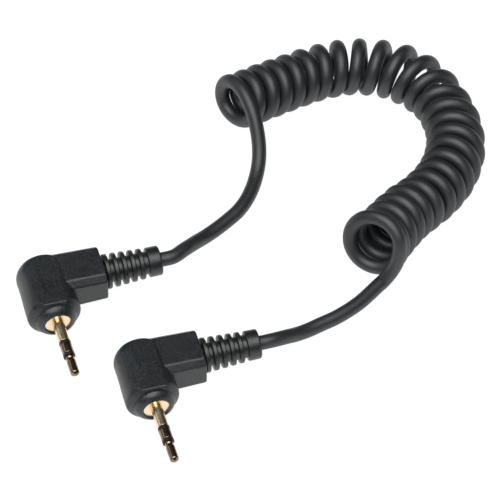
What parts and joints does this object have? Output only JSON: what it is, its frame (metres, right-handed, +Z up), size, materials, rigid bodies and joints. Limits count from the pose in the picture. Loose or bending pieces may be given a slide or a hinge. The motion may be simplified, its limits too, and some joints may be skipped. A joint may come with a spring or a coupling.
{
  "type": "coiled shutter release lead",
  "caption": "Curly electronic shutter-release lead with a right-angle moulded mini-jack plug at each end, each with a ribbed strain relief.",
  "frame": {"origin": "bottom centre of the box round the two plugs, on the table that the lead lies on", "axes": "+Z up, -Y the way both pins point, +X the way both plugs' cable arms point"},
  "size_m": [0.1067, 0.0996, 0.0153],
  "materials": {
    "housing_black": "moulded, fine spark-eroded satin",
    "relief_black": "soft moulded, satin",
    "cord_black": "smooth extruded jacket, soft gloss",
    "gold_plate": "polished gold plate",
    "insulator_black": "moulded, satin",
    "mould_natural": "natural, as moulded",
    "washer_tan": "pressed laminate",
    "lug_tinned": "stamped, tin plated",
    "solder": "reflowed solder",
    "copper": "tinned copper strands",
    "core_red": "extruded insulation",
    "core_white": "extruded insulation",
    "core_brown": "extruded insulation"
  },
  "bodies": {
    "root": {"housing_a": "housing_black", "strain_relief_a": "relief_black", "inner_mould_a": "mould_natural", "sleeve_contact_a": "gold_plate", "ring_insulator_a": "insulator_black", "ring_contact_a": "gold_plate", "tip_insulator_a": "insulator_black", "tip_contact_a": "gold_plate", "rear_washers_a": "washer_tan", "ground_lug_a": "lug_tinned", "ring_lug_a": "lug_tinned", "tip_lug_a": "lug_tinned", "solder_joints_a": "solder", "copper_ends_a": "copper", "red_core_a": "core_red", "white_core_a": "core_white", "ground_core_a": "core_brown", "cord_jacket_a": "cord_black", "housing_b": "housing_black", "strain_relief_b": "relief_black", "inner_mould_b": "mould_natural", "sleeve_contact_b": "gold_plate", "ring_insulator_b": "insulator_black", "ring_contact_b": "gold_plate", "tip_insulator_b": "insulator_black", "tip_contact_b": "gold_plate", "rear_washers_b": "washer_tan", "ground_lug_b": "lug_tinned", "ring_lug_b": "lug_tinned", "tip_lug_b": "lug_tinned", "solder_joints_b": "solder", "copper_ends_b": "copper", "red_core_b": "core_red", "white_core_b": "core_white", "ground_core_b": "core_brown", "cord_jacket_b": "cord_black", "lead_a": "cord_black", "curly_cord": "cord_black", "lead_b": "cord_black"}
  },
  "joints": []
}
